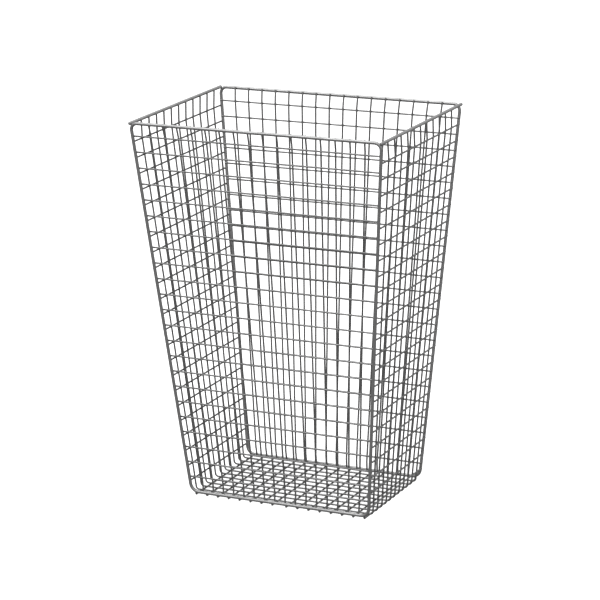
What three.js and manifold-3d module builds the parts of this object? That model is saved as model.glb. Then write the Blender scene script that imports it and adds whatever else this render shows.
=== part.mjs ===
// Wire mesh container: an open-topped basket with four tapering sides, welded from round steel wire.
// Thick wires frame the front and the back and carry the rim; thin wires make the mesh.
// Millimetres, +X across the width, +Y towards the back, +Z up, floor wires resting on Z = 0.

import * as THREE from 'three';
import * as BufferGeometryUtils from 'three/addons/utils/BufferGeometryUtils.js';
import Module from 'manifold-3d';

// Overall shape, between the centre lines of the frame wires.
const TOP_WIDTH = 417;
const TOP_DEPTH = 294;
const BOTTOM_WIDTH = 307;
const BOTTOM_DEPTH = 195;
const FRAME_HEIGHT = 599;

// Wire diameters.
const FRAME_WIRE = 5.2;
const MESH_WIRE = 2.8;

// Clearance between wires that touch, and how deep two wires of one piece sink together at a weld.
const FIT_GAP = 0.3;
const WELD_SINK = 0.35;

// Bend radii of the frame wires, on the centre line.
const TOP_CORNER_RADIUS = 10;
const BOTTOM_CORNER_RADIUS = 14;

// Butt weld that closes each frame loop, in the middle of its bottom run.
const BUTT_WELD_LENGTH = 5;
const BUTT_WELD_SWELL = 0.25;
const BUTT_WELD_SPLIT = 0.4;

// Rows: the level wires of the front and back panels, set by the gaps above the first and below the last.
const ROWS = 23;
const ROW_TOP_GAP = 21.2;
const ROW_BOTTOM_GAP = 23.8;

// Uprights: the thin wires that fan out from the bottom of a panel to its top. The margins are from the
// frame's own uprights to the first and last of them.
const UPRIGHTS = 16;
const UPRIGHT_TOP_MARGIN = 28.6;
const UPRIGHT_BOTTOM_MARGIN = 18.6;
const UPRIGHT_BEND_DROP = 17;
const UPRIGHT_BEND_RISE = 15;

// Long wires: each runs down the left side, across the floor and up the right side.
const LONG_WIRES = 11;
const LONG_TOP_MARGIN = 28.1;
const LONG_FLOOR_MARGIN = 16.2;
const LONG_BEND_DROP = 29;
const LONG_FLOOR_BEND_RADIUS = 5;
const LONG_TIP_BEND_RADIUS = 14;

// Cross wires: straight wires outside the long wires, on both sides and under the floor.
const SIDE_CROSS_WIRES = 23;
const SIDE_CROSS_TOP_GAP = 29.8;
const SIDE_CROSS_BOTTOM_GAP = 16.2;
const FLOOR_CROSS_WIRES_HALF = 8;
const FLOOR_CROSS_MIDDLE_GAP = 24.2;
const FLOOR_CROSS_EDGE_GAP = 7.4;
const FLOOR_CROSS_OVERHANG = 0.5;

// Rim rods: thick straight wires along the two short sides, lying on the rounded frame corners.
const RIM_ROD_SEAT_ANGLE = THREE.MathUtils.degToRad(40);
const RIM_ROD_OVERHANG = 2.6;

// Cut ends reach this far past the centre line of the thick wire they meet: the rows, and the standing
// uprights and long wires.
const ROW_OVERHANG = 0.5;
const STANDING_OVERHANG = 1.5;

// Flat sides round a wire, and the largest turn between two sections of a bend.
const FRAME_WIRE_FACETS = 8;
const MESH_WIRE_FACETS = 6;
const BEND_STEP = THREE.MathUtils.degToRad(17);

// Sizes that follow from the ones above.
const FRAME_R = FRAME_WIRE / 2;
const MESH_R = MESH_WIRE / 2;
const SIDE_CROSS_OFFSET = FRAME_R;
const FLOOR_CROSS_OFFSET = FRAME_R + MESH_R + FIT_GAP;
const LONG_INSIDE_CROSS = MESH_WIRE + FIT_GAP;
const EDGE_LONG_INSIDE_CROSS = MESH_WIRE - WELD_SINK;
const ROW_OFFSET = FRAME_R + MESH_R - WELD_SINK;
const UPRIGHT_OFFSET = ROW_OFFSET + MESH_WIRE + FIT_GAP;
const UPRIGHT_END_OFFSET = FRAME_R + MESH_R + FIT_GAP;
const BASE_Z = MESH_R + FLOOR_CROSS_OFFSET;

const FRONT_LEAN = Math.atan((TOP_DEPTH - BOTTOM_DEPTH) / 2 / FRAME_HEIGHT);
const SIDE_LEAN = Math.atan((TOP_WIDTH - BOTTOM_WIDTH) / 2 / FRAME_HEIGHT);
const PANEL_LENGTH = FRAME_HEIGHT / Math.cos(FRONT_LEAN);
const SIDE_LENGTH = FRAME_HEIGHT / Math.cos(SIDE_LEAN);

const wasm = await Module();
wasm.setup();

const zinc = new THREE.MeshStandardMaterial({ color: 0xa9acae, roughness: 0.38, metalness: 1 });
const rodZinc = new THREE.MeshStandardMaterial({ color: 0xb3b6b8, roughness: 0.34, metalness: 1 });

const container = new THREE.Group();
container.name = 'wire_mesh_container';

// A wire's centre line, as stations in space. "across" is the direction the wire's flats are squared to.
class WirePath extends THREE.Curve {
  constructor(stations, across) {
    super();
    this.stations = stations;
    this.across = across;
  }

  get segments() {
    return this.stations.length - 1;
  }

  getPointAt(u) {
    return this.stations[Math.round(u * this.segments)].clone();
  }

  getTangentAt(u) {
    const i = Math.round(u * this.segments);
    const before = this.stations[Math.max(i - 1, 0)];
    const here = this.stations[i];
    const after = this.stations[Math.min(i + 1, this.segments)];
    const arriving = here.clone().sub(before).normalize();
    const leaving = after.clone().sub(here).normalize();
    return arriving.add(leaving).normalize();
  }

  computeFrenetFrames(segments) {
    const frames = { tangents: [], normals: [], binormals: [] };
    for (let i = 0; i <= segments; i += 1) {
      const tangent = this.getTangentAt(i / segments);
      const normal = this.across.clone().cross(tangent).normalize();
      frames.tangents.push(tangent);
      frames.normals.push(normal);
      frames.binormals.push(tangent.clone().cross(normal));
    }
    return frames;
  }
}

// A many-sided stand-in for a round wire's section: its flats touch the circle of the wire's diameter.
function wireSection(radius, facets) {
  const corners = [];
  for (let i = 0; i < facets; i += 1) {
    const angle = (2 * Math.PI * (i + 0.5)) / facets;
    const reach = radius / Math.cos(Math.PI / facets);
    corners.push(new THREE.Vector2(reach * Math.cos(angle), reach * Math.sin(angle)));
  }
  return new THREE.Shape(corners);
}

function sweepWire(stations, across, radius, facets) {
  const path = new WirePath(stations, across);
  const swept = new THREE.ExtrudeGeometry(wireSection(radius, facets), {
    steps: path.segments,
    extrudePath: path,
    bevelEnabled: false,
  });
  swept.deleteAttribute('normal');
  swept.deleteAttribute('uv');
  return BufferGeometryUtils.mergeVertices(swept, 1e-4);
}

function meshWire(stations, across) {
  return sweepWire(stations, across, MESH_R, MESH_WIRE_FACETS);
}

function frameWire(stations, across) {
  return sweepWire(stations, across, FRAME_R, FRAME_WIRE_FACETS);
}

// Rounds the corners of a bent line: each corner is a point and the bend radius there.
function bendLine(corners) {
  const stations = [corners[0].point.clone()];
  for (let i = 1; i < corners.length - 1; i += 1) {
    const { point, radius } = corners[i];
    const back = corners[i - 1].point.clone().sub(point).normalize();
    const ahead = corners[i + 1].point.clone().sub(point).normalize();
    const half = back.angleTo(ahead) / 2;
    const setback = radius / Math.tan(half);
    const centre = back.clone().add(ahead).normalize().multiplyScalar(radius / Math.sin(half)).add(point);
    const from = point.clone().addScaledVector(back, setback).sub(centre);
    const turn = Math.PI - 2 * half;
    const axis = ahead.clone().cross(back).normalize();
    const steps = Math.max(1, Math.ceil(turn / BEND_STEP));
    for (let step = 0; step <= steps; step += 1) {
      const spoke = from.clone().applyAxisAngle(axis, (turn * step) / steps);
      stations.push(spoke.add(centre));
    }
  }
  stations.push(corners[corners.length - 1].point.clone());
  return stations;
}

function toManifold(geometry) {
  return new wasm.Manifold(new wasm.Mesh({
    numProp: 3,
    vertProperties: new Float32Array(geometry.attributes.position.array),
    triVerts: new Uint32Array(geometry.index.array),
  }));
}

// Joins wires that are welded into one piece.
function weld(geometries) {
  const joined = wasm.Manifold.union(geometries.map(toManifold)).getMesh();
  const geometry = new THREE.BufferGeometry();
  geometry.setAttribute('position', new THREE.BufferAttribute(new Float32Array(joined.vertProperties), 3));
  geometry.setIndex(new THREE.BufferAttribute(new Uint32Array(joined.triVerts), 1));
  return geometry;
}

function addPiece(name, geometry, material) {
  geometry.computeVertexNormals();
  const piece = new THREE.Mesh(geometry, material);
  piece.name = name;
  container.add(piece);
}

function numbered(name, index) {
  return `${name}_${String(index).padStart(2, '0')}`;
}

function spread(first, last, count, index) {
  return first + ((last - first) * index) / (count - 1);
}

// A point of the front (facing -1) or back (facing +1) panel: x across, "rise" up its slope from the
// bottom wire's centre line, "inward" towards the middle of the container.
function panelPoint(facing, x, rise, inward) {
  const depth = BOTTOM_DEPTH / 2 + rise * Math.sin(FRONT_LEAN) - inward * Math.cos(FRONT_LEAN);
  const height = rise * Math.cos(FRONT_LEAN) + inward * Math.sin(FRONT_LEAN);
  return new THREE.Vector3(x, facing * depth, BASE_Z + height);
}

function panelHalfWidth(rise) {
  return THREE.MathUtils.lerp(BOTTOM_WIDTH, TOP_WIDTH, rise / PANEL_LENGTH) / 2;
}

function panelSlope(facing) {
  return panelPoint(facing, 0, 1, 0).sub(panelPoint(facing, 0, 0, 0));
}

function panelFacing(facing) {
  return panelPoint(facing, 0, 0, 1).sub(panelPoint(facing, 0, 0, 0));
}

// A point of the left (side -1) or right (side +1) wall: "rise" up its slope from the sharp bottom
// corner, "outward" away from the container.
function sidePoint(side, y, rise, outward) {
  const x = BOTTOM_WIDTH / 2 + rise * Math.sin(SIDE_LEAN) + outward * Math.cos(SIDE_LEAN);
  const height = rise * Math.cos(SIDE_LEAN) - outward * Math.sin(SIDE_LEAN);
  return new THREE.Vector3(side * x, y, BASE_Z + height);
}

// The sharp corner between a wall moved outward and a floor moved downward.
function floorCorner(side, y, outward, downward) {
  const x = BOTTOM_WIDTH / 2 + outward / Math.cos(SIDE_LEAN) - downward * Math.tan(SIDE_LEAN);
  return new THREE.Vector3(side * x, y, BASE_Z - downward);
}

function halfDepthAt(z) {
  return THREE.MathUtils.lerp(BOTTOM_DEPTH, TOP_DEPTH, (z - BASE_Z) / FRAME_HEIGHT) / 2;
}

// Front and back panel frames: a closed loop of thick wire bent round the panel and butt-welded at the
// bottom, with the rows welded to the inner side of its uprights.
function frameLoop(facing) {
  const corners = [
    { point: panelPoint(facing, BUTT_WELD_SPLIT / 2, 0, 0) },
    { point: panelPoint(facing, BOTTOM_WIDTH / 2, 0, 0), radius: BOTTOM_CORNER_RADIUS },
    { point: panelPoint(facing, TOP_WIDTH / 2, PANEL_LENGTH, 0), radius: TOP_CORNER_RADIUS },
    { point: panelPoint(facing, -TOP_WIDTH / 2, PANEL_LENGTH, 0), radius: TOP_CORNER_RADIUS },
    { point: panelPoint(facing, -BOTTOM_WIDTH / 2, 0, 0), radius: BOTTOM_CORNER_RADIUS },
    { point: panelPoint(facing, -BUTT_WELD_SPLIT / 2, 0, 0) },
  ];
  return frameWire(bendLine(corners), panelFacing(facing));
}

function buttWeld(facing) {
  const ends = [
    panelPoint(facing, -BUTT_WELD_LENGTH / 2, 0, 0),
    panelPoint(facing, BUTT_WELD_LENGTH / 2, 0, 0),
  ];
  return sweepWire(ends, panelFacing(facing), FRAME_R + BUTT_WELD_SWELL, FRAME_WIRE_FACETS);
}

function panelRow(facing, rise) {
  const reach = panelHalfWidth(rise) + ROW_OVERHANG;
  const ends = [
    panelPoint(facing, -reach, rise, ROW_OFFSET),
    panelPoint(facing, reach, rise, ROW_OFFSET),
  ];
  return meshWire(ends, panelSlope(facing));
}

function panelFrame(facing) {
  const wires = [frameLoop(facing), buttWeld(facing)];
  for (let i = 0; i < ROWS; i += 1) {
    wires.push(panelRow(facing, spread(PANEL_LENGTH - ROW_TOP_GAP, ROW_BOTTOM_GAP, ROWS, i)));
  }
  return weld(wires);
}

addPiece('front_panel_frame', panelFrame(-1), zinc);
addPiece('back_panel_frame', panelFrame(1), zinc);

// Uprights: they run inside the rows, and are pressed outward at both ends to meet the frame wire.
function panelUpright(facing, index) {
  const share = spread(-1, 1, UPRIGHTS, index - 1);
  const at = (rise, inward) => {
    const margin = THREE.MathUtils.lerp(UPRIGHT_BOTTOM_MARGIN, UPRIGHT_TOP_MARGIN, rise / PANEL_LENGTH);
    return panelPoint(facing, share * (panelHalfWidth(rise) - margin), rise, inward);
  };
  const stations = [
    at(0, UPRIGHT_END_OFFSET),
    at(UPRIGHT_BEND_RISE, UPRIGHT_OFFSET),
    at(PANEL_LENGTH - UPRIGHT_BEND_DROP, UPRIGHT_OFFSET),
    at(PANEL_LENGTH + STANDING_OVERHANG, UPRIGHT_END_OFFSET),
  ];
  return meshWire(stations, new THREE.Vector3(1, 0, 0));
}

for (let index = 1; index <= UPRIGHTS; index += 1) {
  addPiece(numbered('front_upright', index), panelUpright(-1, index), zinc);
}
for (let index = 1; index <= UPRIGHTS; index += 1) {
  addPiece(numbered('back_upright', index), panelUpright(1, index), zinc);
}

// Rim rods: each lies across the outer rounded corners of both frames.
function rimRodCentre(side) {
  const arcTurn = Math.PI / 2 + SIDE_LEAN;
  const inset = TOP_CORNER_RADIUS * Math.tan(arcTurn / 2);
  const spoke = TOP_CORNER_RADIUS + FRAME_WIRE + FIT_GAP;
  const x = TOP_WIDTH / 2 - inset + spoke * Math.cos(RIM_ROD_SEAT_ANGLE);
  const z = BASE_Z + FRAME_HEIGHT - TOP_CORNER_RADIUS + spoke * Math.sin(RIM_ROD_SEAT_ANGLE);
  return new THREE.Vector3(side * x, 0, z);
}

function rimRod(side) {
  const centre = rimRodCentre(side);
  const reach = new THREE.Vector3(0, halfDepthAt(centre.z) + RIM_ROD_OVERHANG, 0);
  const squared = new THREE.Vector3(-side * Math.sin(RIM_ROD_SEAT_ANGLE), 0, Math.cos(RIM_ROD_SEAT_ANGLE));
  return frameWire([centre.clone().sub(reach), centre.clone().add(reach)], squared);
}

addPiece('left_rim_rod', rimRod(-1), rodZinc);
addPiece('right_rim_rod', rimRod(1), rodZinc);

// Long wires: bent more sharply than the frames' bottom corners, fanning out up the sides, and leaning in
// at the top to end against the inner side of the rim rods.
function longWire(index, insideCross) {
  const outward = SIDE_CROSS_OFFSET - insideCross;
  const yTop = spread(LONG_TOP_MARGIN - TOP_DEPTH / 2, TOP_DEPTH / 2 - LONG_TOP_MARGIN, LONG_WIRES, index);
  const yFloor = spread(
    LONG_FLOOR_MARGIN - BOTTOM_DEPTH / 2,
    BOTTOM_DEPTH / 2 - LONG_FLOOR_MARGIN,
    LONG_WIRES,
    index,
  );
  const half = (side) => {
    const end = rimRodCentre(side);
    end.x -= side * (FRAME_R + MESH_R + FIT_GAP);
    end.y = yTop;
    end.z += STANDING_OVERHANG;
    const bendRise = SIDE_LENGTH - LONG_BEND_DROP;
    const yBend = THREE.MathUtils.lerp(yFloor, yTop, bendRise / SIDE_LENGTH);
    return [
      { point: end },
      { point: sidePoint(side, yBend, bendRise, outward), radius: LONG_TIP_BEND_RADIUS },
      {
        point: floorCorner(side, yFloor, outward, FLOOR_CROSS_OFFSET - insideCross),
        radius: LONG_FLOOR_BEND_RADIUS,
      },
    ];
  };
  return meshWire(bendLine([...half(-1), ...half(1).reverse()]), new THREE.Vector3(0, 1, 0));
}

// Cross wires: straight from front to back on the outer side of the long wires. Up the sides their ends
// butt against the facing sides of the frames; under the floor they lap over the frames' bottom runs.
function crossWire(centre, across, past) {
  const reach = new THREE.Vector3(0, halfDepthAt(centre.z) + past, 0);
  return meshWire([centre.clone().sub(reach), centre.clone().add(reach)], across);
}

function sideCrossWire(side, rise) {
  const upSlope = sidePoint(side, 0, 1, 0).sub(sidePoint(side, 0, 0, 0));
  return crossWire(sidePoint(side, 0, rise, SIDE_CROSS_OFFSET), upSlope, -FRAME_R - FIT_GAP);
}

function floorCrossWire(x) {
  return crossWire(new THREE.Vector3(x, 0, MESH_R), new THREE.Vector3(1, 0, 0), FLOOR_CROSS_OVERHANG);
}

// Cradle: the first and last long wires with every cross wire welded to their outer side.
function cradle() {
  const wires = [longWire(0, EDGE_LONG_INSIDE_CROSS), longWire(LONG_WIRES - 1, EDGE_LONG_INSIDE_CROSS)];
  for (const side of [-1, 1]) {
    for (let i = 0; i < SIDE_CROSS_WIRES; i += 1) {
      const top = SIDE_LENGTH - SIDE_CROSS_TOP_GAP;
      wires.push(sideCrossWire(side, spread(top, SIDE_CROSS_BOTTOM_GAP, SIDE_CROSS_WIRES, i)));
    }
    for (let i = 0; i < FLOOR_CROSS_WIRES_HALF; i += 1) {
      const outermost = BOTTOM_WIDTH / 2 - FLOOR_CROSS_EDGE_GAP;
      const innermost = FLOOR_CROSS_MIDDLE_GAP / 2;
      wires.push(floorCrossWire(side * spread(innermost, outermost, FLOOR_CROSS_WIRES_HALF, i)));
    }
  }
  return weld(wires);
}

addPiece('side_and_floor_cradle', cradle(), zinc);

for (let index = 1; index < LONG_WIRES - 1; index += 1) {
  addPiece(numbered('long_wire', index + 1), longWire(index, LONG_INSIDE_CROSS), zinc);
}

export default container;
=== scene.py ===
import math

import bpy
from mathutils import Matrix, Vector


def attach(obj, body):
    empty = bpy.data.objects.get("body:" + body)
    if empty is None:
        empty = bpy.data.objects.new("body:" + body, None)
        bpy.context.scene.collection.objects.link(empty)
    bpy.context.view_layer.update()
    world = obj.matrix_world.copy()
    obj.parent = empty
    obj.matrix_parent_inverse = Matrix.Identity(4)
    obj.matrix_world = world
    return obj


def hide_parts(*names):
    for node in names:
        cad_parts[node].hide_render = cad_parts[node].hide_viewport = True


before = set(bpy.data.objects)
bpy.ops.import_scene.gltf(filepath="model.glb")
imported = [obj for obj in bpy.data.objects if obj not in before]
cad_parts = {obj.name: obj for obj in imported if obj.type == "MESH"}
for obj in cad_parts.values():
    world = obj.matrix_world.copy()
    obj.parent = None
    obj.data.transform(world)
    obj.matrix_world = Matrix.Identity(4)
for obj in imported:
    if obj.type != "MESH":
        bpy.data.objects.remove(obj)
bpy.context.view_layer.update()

# ---------------------------------------------------------------------------------------------------
# Frame wires. Two hoops of thick drawn steel wire, one for the front and one for the back, each bent
# round four corners so that it is wider at the top, leaning outward, with its ends butt-welded in the
# middle of the bottom run and the weld left standing slightly proud. The finish is bright zinc plate.

TOP_WIDTH = 0.417
TOP_DEPTH = 0.294
BOTTOM_WIDTH = 0.307
BOTTOM_DEPTH = 0.195
FRAME_HEIGHT = 0.599
HOOP_LOW_Z = 0.0057
THICK_R = 0.0026
HOOP_TOP_BEND = 0.010
HOOP_BOTTOM_BEND = 0.014
BUTT_WELD_LENGTH = 0.005
BUTT_WELD_SWELL = 1.1
BUTT_WELD_CREST = 0.8
THICK_SIDES = 20
RUN_STEP = 0.035
BEND_STEPS = 7
SWAY_SCALE = 14.0
SEED_SHIFT = 1.7
WIRE_SHIFT = 0.73
SHARP_FOLD = 0.8
END_DOME = (0.97, 0.97, 0.32)

FRONT_LEAN = math.atan((TOP_DEPTH - BOTTOM_DEPTH) / 2 / FRAME_HEIGHT)
PANEL_LENGTH = FRAME_HEIGHT / math.cos(FRONT_LEAN)
FRONT, BACK = -1, 1


class Signal:
    """An output of a node. Arithmetic on it adds the nodes that work it out."""

    def __init__(self, socket):
        self.socket = socket

    @classmethod
    def node(cls, tree, kind, settings=None, inputs=None, output=0):
        made = tree.nodes.new(kind)
        for name, value in (settings or {}).items():
            if name == "stops":
                ramp = made.color_ramp.elements
                while len(ramp) < len(value):
                    ramp.new(0.5)
                for stop, (position, level) in zip(ramp, value):
                    stop.position = position
                    stop.color = (level, level, level, 1)
            else:
                setattr(made, name, value)
        for name, value in (inputs or {}).items():
            if isinstance(value, Signal):
                tree.links.new(value.socket, made.inputs[name])
            else:
                made.inputs[name].default_value = value
        return cls(made.outputs[output]) if made.outputs else None

    def sibling(self, output):
        return Signal(self.socket.node.outputs[output])

    def math(self, operation, first, second):
        settings = {"operation": operation}
        return Signal.node(self.socket.id_data, "ShaderNodeMath", settings, {0: first, 1: second})

    def __add__(self, other):
        return self.math("ADD", self, other)

    def __sub__(self, other):
        return self.math("SUBTRACT", self, other)

    def __rsub__(self, other):
        return self.math("SUBTRACT", other, self)

    def __mul__(self, other):
        return self.math("MULTIPLY", self, other)

    __radd__ = __add__
    __rmul__ = __mul__


def panel_point(facing, x, rise, inward=0.0):
    """A point of the front or back: x across, rise up its slope, inward towards the middle."""
    depth = BOTTOM_DEPTH / 2 + rise * math.sin(FRONT_LEAN) - inward * math.cos(FRONT_LEAN)
    height = rise * math.cos(FRONT_LEAN) + inward * math.sin(FRONT_LEAN)
    return Vector((x, facing * depth, HOOP_LOW_Z + height))


def half_width(rise):
    return (BOTTOM_WIDTH + (TOP_WIDTH - BOTTOM_WIDTH) * rise / PANEL_LENGTH) / 2


def wire_tree():
    """Geometry Nodes that draw a round wire along each guide line, with bends and rounded cut ends."""
    tree = bpy.data.node_groups.new("drawn_wire", "GeometryNodeTree")
    face = tree.interface
    face.new_socket(name="Guide lines", in_out="INPUT", socket_type="NodeSocketGeometry")
    for name in ("Wire radius", "Sway"):
        face.new_socket(name=name, in_out="INPUT", socket_type="NodeSocketFloat")
    for name in ("Sides", "Bend steps", "Seed"):
        face.new_socket(name=name, in_out="INPUT", socket_type="NodeSocketInt")
    face.new_socket(name="Finish", in_out="INPUT", socket_type="NodeSocketMaterial")
    face.new_socket(name="Wires", in_out="OUTPUT", socket_type="NodeSocketGeometry")

    def add(kind, settings=None, inputs=None, output=0):
        return Signal.node(tree, kind, settings, inputs, output)

    given = add("NodeGroupInput")
    radius = given.sibling("Wire radius")
    finish = given.sibling("Finish")
    bend = add("GeometryNodeInputNamedAttribute", {"data_type": "FLOAT"}, {"Name": "bend"})
    swell = add("GeometryNodeInputNamedAttribute", {"data_type": "FLOAT"}, {"Name": "swell"})

    # Real wire is never dead straight: it sways by a fraction of its thickness.
    line = add("GeometryNodeMeshToCurve", None, {"Mesh": given.sibling("Guide lines")})
    place = add("GeometryNodeInputPosition")
    offset_seed = add("ShaderNodeCombineXYZ", None, {"Z": given.sibling("Seed") * SEED_SHIFT})
    moved = add("ShaderNodeVectorMath", {"operation": "ADD"}, {0: place, 1: offset_seed})
    wavy = {"Vector": moved, "Scale": SWAY_SCALE, "Detail": 1.0}
    drift = add("ShaderNodeTexNoise", None, wavy, "Color")
    centred = add("ShaderNodeVectorMath", {"operation": "SUBTRACT"}, {0: drift, 1: (0.5, 0.5, 0.5)})
    amount = {0: centred, "Scale": given.sibling("Sway")}
    sway = add("ShaderNodeVectorMath", {"operation": "SCALE"}, amount)
    line = add("GeometryNodeSetPosition", None, {"Geometry": line, "Offset": sway})

    bent = add(
        "GeometryNodeFilletCurve",
        {"mode": "POLY"},
        {"Curve": line, "Radius": bend, "Count": given.sibling("Bend steps"), "Limit Radius": True},
    )
    bent = add("GeometryNodeSetCurveRadius", None, {"Curve": bent, "Radius": swell})
    bent = add("GeometryNodeSetCurveNormal", {"mode": "MINIMUM_TWIST"}, {"Curve": bent})

    # The place along the wire and round it travels with the mesh, for marks that follow the wire.
    along = add("GeometryNodeSplineParameter", None, None, "Length")
    wire_number = add("GeometryNodeCurveOfPoint", None, None, "Curve Index")
    along = along + wire_number * WIRE_SHIFT
    bent = add(
        "GeometryNodeStoreNamedAttribute",
        {"data_type": "FLOAT", "domain": "POINT"},
        {"Geometry": bent, "Name": "along", "Value": along},
    )
    section = {"Resolution": given.sibling("Sides"), "Radius": radius}
    ring = add("GeometryNodeCurvePrimitiveCircle", None, section)
    on_ring = add("GeometryNodeInputPosition")
    spoke = add("ShaderNodeVectorMath", {"operation": "NORMALIZE"}, {0: on_ring})
    ring = add(
        "GeometryNodeStoreNamedAttribute",
        {"data_type": "FLOAT_VECTOR", "domain": "POINT"},
        {"Geometry": ring, "Name": "round", "Value": spoke},
    )
    swept = {"Curve": bent, "Profile Curve": ring, "Fill Caps": True}
    drawn = add("GeometryNodeCurveToMesh", None, swept)
    fold = add("GeometryNodeInputMeshEdgeAngle")
    folded = fold.math("LESS_THAN", fold, SHARP_FOLD)
    drawn = add(
        "GeometryNodeSetShadeSmooth",
        {"domain": "EDGE"},
        {"Geometry": drawn, "Shade Smooth": folded},
    )
    vector, number = {"data_type": "FLOAT_VECTOR"}, {"data_type": "FLOAT"}
    spoke_kept = add("GeometryNodeInputNamedAttribute", vector, {"Name": "round"})
    along_kept = add("GeometryNodeInputNamedAttribute", number, {"Name": "along"})
    lift = add("ShaderNodeCombineXYZ", None, {"Z": along_kept})
    marks = add("ShaderNodeVectorMath", {"operation": "ADD"}, {0: spoke_kept, 1: lift})
    drawn = add(
        "GeometryNodeStoreNamedAttribute",
        {"data_type": "FLOAT_VECTOR", "domain": "POINT"},
        {"Geometry": drawn, "Name": "drawn", "Value": marks},
    )

    # Sheared ends: the burr is tumbled off, which leaves a shallow dome.
    loop = add("GeometryNodeInputSplineCyclic")
    tip = add("GeometryNodeCurveEndpointSelection", None, {"Start Size": 1, "End Size": 1})
    tip = add("FunctionNodeBooleanMath", {"operation": "NIMPLY"}, {0: tip, 1: loop})
    dome = add("GeometryNodeMeshIcoSphere", None, {"Radius": radius, "Subdivisions": 2})
    way_on = add("GeometryNodeInputTangent")
    facing = add("FunctionNodeAlignRotationToVector", {"axis": "Z"}, {"Vector": way_on})
    domes = add(
        "GeometryNodeInstanceOnPoints",
        None,
        {"Points": bent, "Selection": tip, "Instance": dome, "Rotation": facing, "Scale": END_DOME},
    )
    domes = add("GeometryNodeRealizeInstances", None, {"Geometry": domes})
    domes = add("GeometryNodeSetShadeSmooth", None, {"Geometry": domes})
    both = tree.nodes.new("GeometryNodeJoinGeometry")
    for part in (domes, drawn):
        tree.links.new(part.socket, both.inputs[0])
    whole = add("GeometryNodeRealizeInstances", None, {"Geometry": Signal(both.outputs[0])})
    whole = add("GeometryNodeSetMaterial", None, {"Geometry": whole, "Material": finish})
    add("NodeGroupOutput", None, {"Wires": whole})
    return tree


DRAWN_WIRE = wire_tree()


def run_of(corners, closed=False):
    """A wire's guide line: its corners as (point, bend radius, swell), with stations on long runs."""
    line = []
    pairs = zip(corners, corners[1:] + corners[:1]) if closed else zip(corners, corners[1:])
    for (point, bend, swell), (following, _, _) in pairs:
        line.append((point, bend, swell))
        steps = int((following - point).length / RUN_STEP)
        for step in range(1, steps):
            line.append((point.lerp(following, step / steps), 0.0, 1.0))
    if not closed:
        line.append(corners[-1])
    return line


def guide_object(name, lines, closed=False):
    points, edges, bends, swells = [], [], [], []
    for line in lines:
        first = len(points)
        for point, bend, swell in line:
            points.append(point)
            bends.append(bend)
            swells.append(swell)
        edges += [(i, i + 1) for i in range(first, len(points) - 1)]
        if closed:
            edges.append((len(points) - 1, first))
    mesh = bpy.data.meshes.new(name)
    mesh.from_pydata(points, edges, [])
    mesh.attributes.new("bend", "FLOAT", "POINT").data.foreach_set("value", bends)
    mesh.attributes.new("swell", "FLOAT", "POINT").data.foreach_set("value", swells)
    guide = bpy.data.objects.new(name, mesh)
    bpy.context.scene.collection.objects.link(guide)
    return guide


def grown(name, guide, tree, values):
    """Runs a tree on a guide object and keeps the result as a plain mesh object."""
    modifier = guide.modifiers.new("grow", "NODES")
    modifier.node_group = tree
    for socket in tree.interface.items_tree:
        if socket.name in values:
            modifier[socket.identifier] = values[socket.name]
    depsgraph = bpy.context.evaluated_depsgraph_get()
    mesh = bpy.data.meshes.new_from_object(guide.evaluated_get(depsgraph), depsgraph=depsgraph)
    mesh.name = name
    guide.modifiers.remove(modifier)
    bpy.data.objects.remove(guide)
    piece = bpy.data.objects.new(name, mesh)
    bpy.context.scene.collection.objects.link(piece)
    return piece


def wires(name, lines, radius, sides, finish, stands_for, closed=False, sway=0.0, seed=1):
    """One piece of one or more wires along their guide lines, standing for the named solids."""
    values = {
        "Wire radius": radius,
        "Sides": sides,
        "Bend steps": BEND_STEPS,
        "Sway": sway,
        "Seed": seed,
        "Finish": finish,
    }
    piece = grown(name, guide_object(name + "_guide", lines, closed), DRAWN_WIRE, values)
    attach(piece, "root")
    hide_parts(*stands_for)
    return piece


CLOUD_SCALE = 45.0
GRAIN_SCALE = 900.0
DIE_LINE_STRETCH = (5.0, 5.0, 30.0)
TONE_RANGE = (0.35, 0.65)
GRAIN_GLOSS = 0.14
DARK_GLOSS = 0.16
RELIEF_DEPTH = 0.00006
RELIEF_STRENGTH = 0.35


def grey(level):
    return (level, level, level, 1.0)


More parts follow.
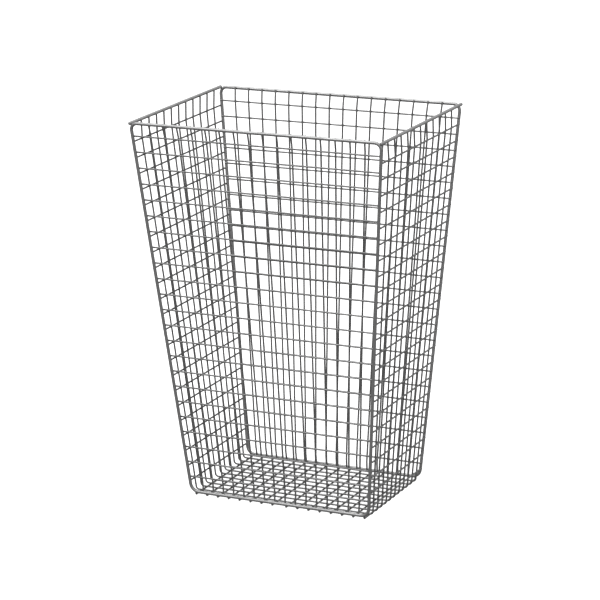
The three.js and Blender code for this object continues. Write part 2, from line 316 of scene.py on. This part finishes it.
def zinc(name, dark, light, gloss, marks=True):
    """Bright zinc plate over drawn steel: cloudy in tone, with faint die lines along the wire."""
    finish = bpy.data.materials.new(name)
    finish.use_nodes = True
    tree = finish.node_tree
    shader = tree.nodes["Principled BSDF"]
    shader.inputs["Metallic"].default_value = 1.0

    def add(kind, settings=None, inputs=None, output=0):
        return Signal.node(tree, kind, settings, inputs, output)

    here = add("ShaderNodeTexCoord", None, None, "Object")
    clouds = add("ShaderNodeTexNoise", None, {"Vector": here, "Scale": CLOUD_SCALE, "Detail": 3.0})
    grain = add("ShaderNodeTexNoise", None, {"Vector": here, "Scale": GRAIN_SCALE, "Detail": 2.0})
    relief = grain
    tone = clouds * 0.7 + grain * 0.3
    if marks:
        path = add("ShaderNodeAttribute", {"attribute_name": "drawn"}, None, "Vector")
        path = add("ShaderNodeVectorMath", {"operation": "MULTIPLY"}, {0: path, 1: DIE_LINE_STRETCH})
        lines = add("ShaderNodeTexNoise", None, {"Vector": path, "Scale": 1.0, "Detail": 4.0})
        tone = tone * 0.6 + lines * 0.4
        relief = grain * 0.4 + lines * 0.6
    lowest, highest = TONE_RANGE
    spread_of_tone = {"Value": tone, "From Min": lowest, "From Max": highest}
    share = add("ShaderNodeMapRange", {"clamp": True}, spread_of_tone)
    colour = add("ShaderNodeMix", {"data_type": "RGBA"}, {0: share, 6: grey(dark), 7: grey(light)}, 2)
    tree.links.new(colour.socket, shader.inputs["Base Color"])
    roughness = gloss + GRAIN_GLOSS * (grain - 0.5) + DARK_GLOSS * (0.5 - share)
    tree.links.new(roughness.socket, shader.inputs["Roughness"])
    depth = {"Height": relief, "Strength": RELIEF_STRENGTH, "Distance": RELIEF_DEPTH}
    bump = add("ShaderNodeBump", None, depth)
    tree.links.new(bump.socket, shader.inputs["Normal"])
    return finish


def hoop(facing):
    weld_half = BUTT_WELD_LENGTH / 2
    corners = [
        (panel_point(facing, -BOTTOM_WIDTH / 2, 0), HOOP_BOTTOM_BEND, 1.0),
        (panel_point(facing, -weld_half, 0), 0.0, 1.0),
        (panel_point(facing, -weld_half * BUTT_WELD_CREST, 0), 0.0, BUTT_WELD_SWELL),
        (panel_point(facing, weld_half * BUTT_WELD_CREST, 0), 0.0, BUTT_WELD_SWELL),
        (panel_point(facing, weld_half, 0), 0.0, 1.0),
        (panel_point(facing, BOTTOM_WIDTH / 2, 0), HOOP_BOTTOM_BEND, 1.0),
        (panel_point(facing, TOP_WIDTH / 2, PANEL_LENGTH), HOOP_TOP_BEND, 1.0),
        (panel_point(facing, -TOP_WIDTH / 2, PANEL_LENGTH), HOOP_TOP_BEND, 1.0),
    ]
    return run_of(corners, closed=True)


THICK_ZINC = zinc("zinc_frame_wire", dark=0.48, light=0.66, gloss=0.33)

for facing, side in ((FRONT, "front"), (BACK, "back")):
    wires(
        f"{side}_frame_wire",
        [hoop(facing)],
        THICK_R,
        THICK_SIDES,
        THICK_ZINC,
        [f"{side}_panel_frame"],
        closed=True,
    )

# ---------------------------------------------------------------------------------------------------
# Rows. Level thin wires across the front and the back, one inch apart up the slope, resistance-welded
# to the inner side of the hoop's uprights with their sheared ends just past it.

ROWS = 23
THIN_R = 0.0014
THIN_SIDES = 12
WELD_SINK = 0.00035
ROW_TOP_GAP = 0.0212
ROW_BOTTOM_GAP = 0.0238
ROW_INWARD = THICK_R + THIN_R - WELD_SINK
ROW_OVERHANG = 0.0005
THIN_SWAY = 0.0005
ROW_SEED = 2

THIN_ZINC = zinc("zinc_mesh_wire", dark=0.28, light=0.46, gloss=0.32)


def spread(first, last, count, index):
    return first + (last - first) * index / (count - 1)


ROW_RISES = [spread(PANEL_LENGTH - ROW_TOP_GAP, ROW_BOTTOM_GAP, ROWS, i) for i in range(ROWS)]


def row(facing, rise):
    reach = half_width(rise) + ROW_OVERHANG
    left = panel_point(facing, -reach, rise, ROW_INWARD)
    right = panel_point(facing, reach, rise, ROW_INWARD)
    return run_of([(left, 0.0, 1.0), (right, 0.0, 1.0)])


for facing, side in ((FRONT, "front"), (BACK, "back")):
    wires(
        f"{side}_rows",
        [row(facing, rise) for rise in ROW_RISES],
        THIN_R,
        THIN_SIDES,
        THIN_ZINC,
        [f"{side}_panel_frame"],
        sway=THIN_SWAY,
        seed=ROW_SEED + facing,
    )

# ---------------------------------------------------------------------------------------------------
# Uprights. Sixteen thin wires on each of the front and back, fanning out towards the top. They are
# welded inside the rows, and both ends are pressed outward to meet the hoop, where they are welded.

UPRIGHTS = 16
UPRIGHT_TOP_MARGIN = 0.0286
UPRIGHT_BOTTOM_MARGIN = 0.0186
UPRIGHT_BEND_DROP = 0.017
UPRIGHT_BEND_RISE = 0.015
UPRIGHT_BEND = 0.020
UPRIGHT_INWARD = ROW_INWARD + 2 * THIN_R - WELD_SINK
STANDING_OVERHANG = 0.0015
UPRIGHT_SEED = 6


def upright_x(rise, index):
    grown_by = (UPRIGHT_TOP_MARGIN - UPRIGHT_BOTTOM_MARGIN) * rise / PANEL_LENGTH
    return spread(-1, 1, UPRIGHTS, index) * (half_width(rise) - UPRIGHT_BOTTOM_MARGIN - grown_by)


def upright(facing, index):
    def at(rise, inward):
        return panel_point(facing, upright_x(rise, index), rise, inward)

    return run_of([
        (at(0, ROW_INWARD), 0.0, 1.0),
        (at(UPRIGHT_BEND_RISE, UPRIGHT_INWARD), UPRIGHT_BEND, 1.0),
        (at(PANEL_LENGTH - UPRIGHT_BEND_DROP, UPRIGHT_INWARD), UPRIGHT_BEND, 1.0),
        (at(PANEL_LENGTH + STANDING_OVERHANG, ROW_INWARD), 0.0, 1.0),
    ])


for facing, side in ((FRONT, "front"), (BACK, "back")):
    wires(
        f"{side}_uprights",
        [upright(facing, index) for index in range(UPRIGHTS)],
        THIN_R,
        THIN_SIDES,
        THIN_ZINC,
        [f"{side}_upright_{index + 1:02d}" for index in range(UPRIGHTS)],
        sway=THIN_SWAY,
        seed=UPRIGHT_SEED + facing,
    )

# ---------------------------------------------------------------------------------------------------
# Long wires. Eleven thin wires, each bent into a U: down the left side, across the floor and up the
# right side, fanning out up the sides, with the tips leaning in against the rim rods.

LONG_WIRES = 11
LONG_TOP_MARGIN = 0.0281
LONG_FLOOR_MARGIN = 0.0162
LONG_BEND_DROP = 0.029
LONG_FLOOR_BEND = 0.005
LONG_TIP_BEND = 0.014
LONG_SEED = 11
CROSS_OUTWARD = THICK_R
LONG_OUTWARD = CROSS_OUTWARD - 2 * THIN_R + WELD_SINK
LONG_FLOOR_Z = 3 * THIN_R - WELD_SINK
SIDE_LEAN = math.atan((TOP_WIDTH - BOTTOM_WIDTH) / 2 / FRAME_HEIGHT)
SIDE_LENGTH = FRAME_HEIGHT / math.cos(SIDE_LEAN)
LEFT, RIGHT = -1, 1

ROD_R = 0.0026
ROD_SEAT_TURN = math.radians(40)
HOOP_CORNER_TURN = math.pi / 2 + SIDE_LEAN
ROD_SEAT = HOOP_TOP_BEND + THICK_R + ROD_R
SHOULDER_X = TOP_WIDTH / 2 - HOOP_TOP_BEND * math.tan(HOOP_CORNER_TURN / 2)
ROD_X = SHOULDER_X + ROD_SEAT * math.cos(ROD_SEAT_TURN)
ROD_Z = HOOP_LOW_Z + FRAME_HEIGHT - HOOP_TOP_BEND + ROD_SEAT * math.sin(ROD_SEAT_TURN)


def side_point(side, y, rise, outward):
    """A point of the left or right side: rise up its slope from the floor, outward from the middle."""
    x = BOTTOM_WIDTH / 2 + rise * math.sin(SIDE_LEAN) + outward * math.cos(SIDE_LEAN)
    height = rise * math.cos(SIDE_LEAN) - outward * math.sin(SIDE_LEAN)
    return Vector((side * x, y, HOOP_LOW_Z + height))


def long_floor_y(index):
    reach = BOTTOM_DEPTH / 2 - LONG_FLOOR_MARGIN
    return spread(-reach, reach, LONG_WIRES, index)


def long_y(rise, index):
    reach = TOP_DEPTH / 2 - LONG_TOP_MARGIN
    top = spread(-reach, reach, LONG_WIRES, index)
    return long_floor_y(index) + (top - long_floor_y(index)) * rise / SIDE_LENGTH


def long_tip(side, index):
    inside = ROD_X - ROD_R - THIN_R + WELD_SINK
    return Vector((side * inside, long_y(SIDE_LENGTH, index), ROD_Z))


def long_wire(index):
    def half(side):
        below = HOOP_LOW_Z - LONG_FLOOR_Z
        corner = BOTTOM_WIDTH / 2 + LONG_OUTWARD / math.cos(SIDE_LEAN) - below * math.tan(SIDE_LEAN)
        bend_rise = SIDE_LENGTH - LONG_BEND_DROP
        return [
            (long_tip(side, index), 0.0, 1.0),
            (side_point(side, long_y(bend_rise, index), bend_rise, LONG_OUTWARD), LONG_TIP_BEND, 1.0),
            (Vector((side * corner, long_floor_y(index), LONG_FLOOR_Z)), LONG_FLOOR_BEND, 1.0),
        ]

    return run_of(half(LEFT) + half(RIGHT)[::-1])


wires(
    "long_wires",
    [long_wire(index) for index in range(LONG_WIRES)],
    THIN_R,
    THIN_SIDES,
    THIN_ZINC,
    [f"long_wire_{index + 1:02d}" for index in range(1, LONG_WIRES - 1)] + ["side_and_floor_cradle"],
    sway=THIN_SWAY,
    seed=LONG_SEED,
)

# ---------------------------------------------------------------------------------------------------
# Cross wires. Straight thin wires welded to the outer side of the long wires: twenty-three up each
# side, with their ends butted against the facing sides of the hoops, and sixteen under the floor,
# lapped under the hoops' bottom runs. The basket stands on those.

SIDE_CROSS_WIRES = 23
SIDE_CROSS_TOP_GAP = 0.0298
SIDE_CROSS_BOTTOM_GAP = 0.0162
FLOOR_CROSS_HALF = 8
FLOOR_CROSS_MIDDLE_GAP = 0.0242
FLOOR_CROSS_EDGE_GAP = 0.0074
FLOOR_CROSS_OVERHANG = 0.0
CROSS_SHORT_OF_HOOP = 0.0017

SIDE_CROSS_RISES = [
    spread(SIDE_LENGTH - SIDE_CROSS_TOP_GAP, SIDE_CROSS_BOTTOM_GAP, SIDE_CROSS_WIRES, i)
    for i in range(SIDE_CROSS_WIRES)
]
FLOOR_CROSS_NEAR = FLOOR_CROSS_MIDDLE_GAP / 2
FLOOR_CROSS_FAR = BOTTOM_WIDTH / 2 - FLOOR_CROSS_EDGE_GAP
FLOOR_CROSS_XS = [
    side * spread(FLOOR_CROSS_NEAR, FLOOR_CROSS_FAR, FLOOR_CROSS_HALF, i)
    for side in (LEFT, RIGHT)
    for i in range(FLOOR_CROSS_HALF)
]


def half_depth(z):
    return (BOTTOM_DEPTH + (TOP_DEPTH - BOTTOM_DEPTH) * (z - HOOP_LOW_Z) / FRAME_HEIGHT) / 2


def cross_wire(centre, past):
    reach = Vector((0, half_depth(centre.z) + past, 0))
    return run_of([(centre - reach, 0.0, 1.0), (centre + reach, 0.0, 1.0)])


for side, name in ((LEFT, "left"), (RIGHT, "right")):
    wires(
        f"{name}_cross_wires",
        [
            cross_wire(side_point(side, 0, rise, CROSS_OUTWARD), -CROSS_SHORT_OF_HOOP)
            for rise in SIDE_CROSS_RISES
        ],
        THIN_R,
        THIN_SIDES,
        THIN_ZINC,
        ["side_and_floor_cradle"],
    )

wires(
    "floor_cross_wires",
    [cross_wire(Vector((x, 0, THIN_R)), FLOOR_CROSS_OVERHANG) for x in FLOOR_CROSS_XS],
    THIN_R,
    THIN_SIDES,
    THIN_ZINC,
    ["side_and_floor_cradle"],
)

# ---------------------------------------------------------------------------------------------------
# Rim rods. A straight thick rod lies along each short side of the rim, on the rounded shoulders of
# the two hoops, welded to both and to the tips of the long wires. Its cut ends stand just past them.

ROD_OVERHANG = 0.0017

ROD_ZINC = zinc("zinc_rim_rod", dark=0.52, light=0.70, gloss=0.32)

for side, name in ((LEFT, "left"), (RIGHT, "right")):
    middle = Vector((side * ROD_X, 0, ROD_Z))
    reach = Vector((0, half_depth(ROD_Z) + ROD_OVERHANG, 0))
    wires(
        f"rim_rod_{name}",
        [run_of([(middle - reach, 0.0, 1.0), (middle + reach, 0.0, 1.0)])],
        ROD_R,
        THICK_SIDES,
        ROD_ZINC,
        [f"{name}_rim_rod"],
    )

# ---------------------------------------------------------------------------------------------------
# Welds. Every crossing is pressed together hot, so that a little metal squeezes out round the contact
# and stays as a small dull bead in the corners between the two wires.

THIN_BEAD = 0.0014
THICK_BEAD = 0.0018
BEAD_FLATNESS = 0.5
BEAD_UNEVENNESS = 0.14
PANEL_BEAD_SEED = 31
SIDE_BEAD_SEED = 41
FLOOR_BEAD_SEED = 47
BUTTED_BEAD_OUTWARD = THICK_R * 0.75


def bead_tree():
    """Geometry Nodes that put a flattened bead on each weld point, square to the way it was pressed."""
    tree = bpy.data.node_groups.new("weld_beads", "GeometryNodeTree")
    face = tree.interface
    face.new_socket(name="Weld points", in_out="INPUT", socket_type="NodeSocketGeometry")
    for name in ("Flatness", "Unevenness"):
        face.new_socket(name=name, in_out="INPUT", socket_type="NodeSocketFloat")
    face.new_socket(name="Seed", in_out="INPUT", socket_type="NodeSocketInt")
    face.new_socket(name="Finish", in_out="INPUT", socket_type="NodeSocketMaterial")
    face.new_socket(name="Beads", in_out="OUTPUT", socket_type="NodeSocketGeometry")

    def add(kind, settings=None, inputs=None, output=0):
        return Signal.node(tree, kind, settings, inputs, output)

    given = add("NodeGroupInput")
    press = add("GeometryNodeInputNamedAttribute", {"data_type": "FLOAT_VECTOR"}, {"Name": "press"})
    size = add("GeometryNodeInputNamedAttribute", {"data_type": "FLOAT"}, {"Name": "size"})
    square = add("FunctionNodeAlignRotationToVector", {"axis": "Z"}, {"Vector": press})
    uneven = given.sibling("Unevenness")
    random = add(
        "FunctionNodeRandomValue",
        {"data_type": "FLOAT"},
        {2: 1 - uneven, 3: 1 + uneven, "Seed": given.sibling("Seed")},
        1,
    )
    wide = size * random
    flat = size * given.sibling("Flatness")
    scale = add("ShaderNodeCombineXYZ", None, {"X": wide, "Y": wide, "Z": flat})
    bead = add("GeometryNodeMeshIcoSphere", None, {"Radius": 1.0, "Subdivisions": 2})
    beads = add(
        "GeometryNodeInstanceOnPoints",
        None,
        {"Points": given.sibling("Weld points"), "Instance": bead, "Rotation": square, "Scale": scale},
    )
    beads = add("GeometryNodeRealizeInstances", None, {"Geometry": beads})
    beads = add("GeometryNodeSetShadeSmooth", None, {"Geometry": beads})
    finish = given.sibling("Finish")
    beads = add("GeometryNodeSetMaterial", None, {"Geometry": beads, "Material": finish})
    add("NodeGroupOutput", None, {"Beads": beads})
    return tree


WELD_BEADS = bead_tree()
WELD_ZINC = zinc("zinc_weld_bead", dark=0.18, light=0.30, gloss=0.45, marks=False)


def welds(name, spots, seed, stands_for):
    """Beads at spots, each a (point, direction pressed, size)."""
    mesh = bpy.data.meshes.new(name + "_points")
    mesh.from_pydata([point for point, _, _ in spots], [], [])
    pressed = [value for _, direction, _ in spots for value in direction]
    sizes = [size for _, _, size in spots]
    mesh.attributes.new("press", "FLOAT_VECTOR", "POINT").data.foreach_set("vector", pressed)
    mesh.attributes.new("size", "FLOAT", "POINT").data.foreach_set("value", sizes)
    points = bpy.data.objects.new(name + "_points", mesh)
    bpy.context.scene.collection.objects.link(points)
    values = {
        "Flatness": BEAD_FLATNESS,
        "Unevenness": BEAD_UNEVENNESS,
        "Seed": seed,
        "Finish": WELD_ZINC,
    }
    piece = grown(name, points, WELD_BEADS, values)
    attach(piece, "root")
    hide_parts(*stands_for)


for facing, side in ((FRONT, "front"), (BACK, "back")):
    pressed = panel_point(facing, 0, 0, 1) - panel_point(facing, 0, 0, 0)
    at_rows = THICK_R - WELD_SINK / 2
    at_uprights = ROW_INWARD + THIN_R - WELD_SINK / 2
    spots = []
    for rise in ROW_RISES:
        for x in (-half_width(rise), half_width(rise)):
            spots.append((panel_point(facing, x, rise, at_rows), pressed, THICK_BEAD))
        for index in range(UPRIGHTS):
            spot = panel_point(facing, upright_x(rise, index), rise, at_uprights)
            spots.append((spot, pressed, THIN_BEAD))
    for rise in (0, PANEL_LENGTH):
        for index in range(UPRIGHTS):
            spot = panel_point(facing, upright_x(rise, index), rise, at_rows)
            spots.append((spot, pressed, THIN_BEAD))
    welds(f"{side}_welds", spots, PANEL_BEAD_SEED + facing, [f"{side}_panel_frame"])

for side, name in ((LEFT, "left"), (RIGHT, "right")):
    pressed = side_point(side, 0, 0, 1) - side_point(side, 0, 0, 0)
    at_long = (LONG_OUTWARD + CROSS_OUTWARD) / 2
    spots = []
    for rise in SIDE_CROSS_RISES:
        for index in range(LONG_WIRES):
            spot = side_point(side, long_y(rise, index), rise, at_long)
            spots.append((spot, pressed, THIN_BEAD))
        for facing in (FRONT, BACK):
            spot = side_point(side, 0, rise, BUTTED_BEAD_OUTWARD)
            spot.y = facing * (half_depth(spot.z) - CROSS_SHORT_OF_HOOP)
            spots.append((spot, Vector((0, facing, 0)), THIN_BEAD))
    for index in range(LONG_WIRES):
        tip = long_tip(side, index)
        spot = Vector((tip.x + side * THIN_R, tip.y, ROD_Z))
        spots.append((spot, Vector((side, 0, 0)), THIN_BEAD))
    for facing in (FRONT, BACK):
        seat = Vector((math.cos(ROD_SEAT_TURN) * side, 0, math.sin(ROD_SEAT_TURN)))
        spot = Vector((side * ROD_X, facing * half_depth(ROD_Z), ROD_Z)) - seat * ROD_R
        spots.append((spot, seat, THICK_BEAD))
    welds(f"{name}_side_welds", spots, SIDE_BEAD_SEED + side, ["side_and_floor_cradle"])

spots = []
for x in FLOOR_CROSS_XS:
    for index in range(LONG_WIRES):
        spot = Vector((x, long_floor_y(index), (THIN_R + LONG_FLOOR_Z) / 2))
        spots.append((spot, Vector((0, 0, 1)), THIN_BEAD))
    for facing in (FRONT, BACK):
        spot = Vector((x, facing * half_depth(HOOP_LOW_Z), HOOP_LOW_Z - THICK_R))
        spots.append((spot, Vector((0, 0, 1)), THICK_BEAD))
welds("floor_welds", spots, FLOOR_BEAD_SEED, ["side_and_floor_cradle"])

# ---------------------------------------------------------------------------------------------------
# The studio: a wide pale floor, even light from above that falls off towards the horizon, one large
# soft lamp, and a long lens at standing height to the front right.

FLOOR_HALF = 25.0
PAPER_GREY = 0.92
PAPER_GLOSS = 0.9
PAPER_GLOW = 0.9
SKY_STOPS = ((0.0, 0.08), (0.40, 0.16), (0.60, 0.25), (0.80, 0.42), (1.0, 0.50))
SKY_POWER = 1.6

floor_mesh = bpy.data.meshes.new("studio_floor")
floor_corners = [
    (-FLOOR_HALF, -FLOOR_HALF, 0),
    (FLOOR_HALF, -FLOOR_HALF, 0),
    (FLOOR_HALF, FLOOR_HALF, 0),
    (-FLOOR_HALF, FLOOR_HALF, 0),
]
floor_mesh.from_pydata(floor_corners, [], [(0, 1, 2, 3)])
floor = bpy.data.objects.new("studio_floor", floor_mesh)
bpy.context.scene.collection.objects.link(floor)
paper = bpy.data.materials.new("studio_paper")
paper.use_nodes = True
paper_inputs = paper.node_tree.nodes["Principled BSDF"].inputs
paper_inputs["Base Color"].default_value = grey(PAPER_GREY)
paper_inputs["Roughness"].default_value = PAPER_GLOSS
paper_inputs["Emission Color"].default_value = grey(1.0)
paper_inputs["Emission Strength"].default_value = PAPER_GLOW
floor_mesh.materials.append(paper)
floor.visible_glossy = False

world = bpy.data.worlds.new("studio_light")
bpy.context.scene.world = world
world.use_nodes = True
sky = world.node_tree
direction = Signal.node(sky, "ShaderNodeTexCoord", None, None, "Generated")
height = Signal.node(sky, "ShaderNodeSeparateXYZ", None, {0: direction}, "Z")
share = height * 0.5 + 0.5
glow = Signal.node(sky, "ShaderNodeValToRGB", {"stops": SKY_STOPS}, {0: share})
seen = Signal.node(sky, "ShaderNodeLightPath", None, None, "Is Camera Ray")
white = grey(1.0)
tint = Signal.node(sky, "ShaderNodeMix", {"data_type": "RGBA"}, {0: seen, 6: glow, 7: white}, 2)
power = SKY_POWER - (SKY_POWER - 1) * seen
sky.links.new(tint.socket, sky.nodes["Background"].inputs["Color"])
sky.links.new(power.socket, sky.nodes["Background"].inputs["Strength"])

LAMP_WATTS = 24
LAMP_WIDTH = 2.5
LAMP_PLACE = (-0.8, -1.2, 3.0)
LAMP_AIM = Vector((0, 0, 0.3))

lamp = bpy.data.lights.new("soft_lamp", "AREA")
lamp.energy = LAMP_WATTS
lamp.size = LAMP_WIDTH
lamp_stand = bpy.data.objects.new("soft_lamp", lamp)
lamp_stand.location = LAMP_PLACE
lamp_stand.rotation_euler = (LAMP_AIM - lamp_stand.location).to_track_quat("-Z", "Y").to_euler()
bpy.context.scene.collection.objects.link(lamp_stand)

CAMERA_AZIMUTH = math.radians(26.43)
CAMERA_ELEVATION = math.radians(15.825)
CAMERA_ROLL = math.radians(-1.453)
CAMERA_DISTANCE = 4.24
CAMERA_LENS = 163.5
CAMERA_SENSOR = 36.0
CAMERA_REACH = 200.0
AIM_ACROSS = -0.00244
AIM_HEIGHT = 0.3090

back = Vector((
    math.sin(CAMERA_AZIMUTH) * math.cos(CAMERA_ELEVATION),
    -math.cos(CAMERA_AZIMUTH) * math.cos(CAMERA_ELEVATION),
    math.sin(CAMERA_ELEVATION),
))
right = Vector((math.cos(CAMERA_AZIMUTH), math.sin(CAMERA_AZIMUTH), 0))
up = back.cross(right)
camera_x = right * math.cos(CAMERA_ROLL) + up * math.sin(CAMERA_ROLL)
camera_y = up * math.cos(CAMERA_ROLL) - right * math.sin(CAMERA_ROLL)
where = right * AIM_ACROSS + Vector((0, 0, AIM_HEIGHT)) + back * CAMERA_DISTANCE

lens = bpy.data.cameras.new("studio_camera")
lens.lens = CAMERA_LENS
lens.sensor_width = CAMERA_SENSOR
lens.clip_end = CAMERA_REACH
camera = bpy.data.objects.new("studio_camera", lens)
camera.matrix_world = Matrix((
    (camera_x.x, camera_y.x, back.x, where.x),
    (camera_x.y, camera_y.y, back.y, where.y),
    (camera_x.z, camera_y.z, back.z, where.z),
    (0, 0, 0, 1),
))
bpy.context.scene.collection.objects.link(camera)
bpy.context.scene.camera = camera
bpy.context.scene.view_settings.view_transform = "Standard"
